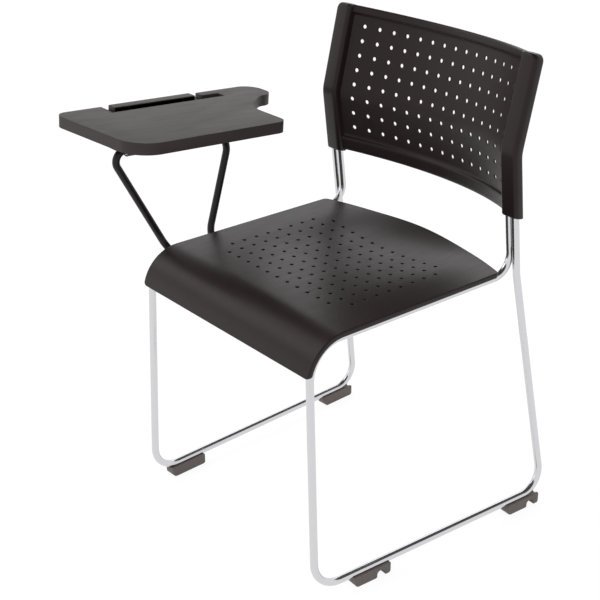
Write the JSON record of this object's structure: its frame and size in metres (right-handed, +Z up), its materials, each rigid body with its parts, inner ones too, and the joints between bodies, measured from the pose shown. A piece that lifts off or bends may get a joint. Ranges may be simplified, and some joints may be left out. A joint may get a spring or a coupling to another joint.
{
  "type": "tablet arm stacking chair",
  "caption": "Stacking chair with a perforated seat and back on bent steel rod sled frames, and a flip-up writing tablet at the sitter's right.",
  "frame": {"origin": "on the floor, midway between the two runners, under the middle of the rod frame's depth", "axes": "+Z up, -Y the way the sitter faces, +X to the sitter's left; the writing tablet is at -X"},
  "size_m": [0.6564, 0.5532, 0.8122],
  "materials": {
    "chromed_rod": "polished chrome plating",
    "weld_bead": "plated weld",
    "shell_plastic": "fine grain moulded polypropylene",
    "tablet_plastic": "fine grain moulded plastic",
    "foot_plastic": "moulded nylon",
    "bush_nylon": "natural nylon",
    "black_steel": "black powder coat",
    "zinc_steel": "zinc plated"
  },
  "bodies": {
    "chair": {"left_side_rod": "chromed_rod", "right_side_rod": "chromed_rod", "front_crossbar": "chromed_rod", "rear_crossbar": "chromed_rod", "front_left_seat_tab": "chromed_rod", "front_right_seat_tab": "chromed_rod", "rear_left_seat_tab": "chromed_rod", "rear_right_seat_tab": "chromed_rod", "left_upright_weld": "weld_bead", "right_upright_weld": "weld_bead", "seat_shell": "shell_plastic", "back_shell": "shell_plastic", "right_front_foot": "foot_plastic", "right_rear_foot": "foot_plastic", "left_front_hooked_foot": "foot_plastic", "left_rear_hooked_foot": "foot_plastic", "tablet_support_rod": "black_steel", "tablet_stop_plate": "black_steel", "outer_upper_clamp": "black_steel", "outer_lower_clamp": "black_steel", "inner_upper_clamp": "black_steel", "inner_lower_clamp": "black_steel", "seat_screws": "zinc_steel", "back_lock_screws": "zinc_steel", "foot_pins": "zinc_steel", "clamp_bolts": "zinc_steel", "clamp_nuts": "zinc_steel"},
    "tablet": {"tablet_top": "tablet_plastic", "mount_plate": "black_steel", "front_saddle": "black_steel", "rear_saddle": "black_steel", "front_bush": "bush_nylon", "rear_bush": "bush_nylon", "tablet_screws": "zinc_steel"}
  },
  "joints": [
    {"name": "tablet_flip", "type": "hinge", "parent": "chair", "child": "tablet", "pos_m": [-0.25, -0.15, 0.62167], "axis": [0, -0.9978, 0.0663], "range_deg": [0, 90]}
  ]
}
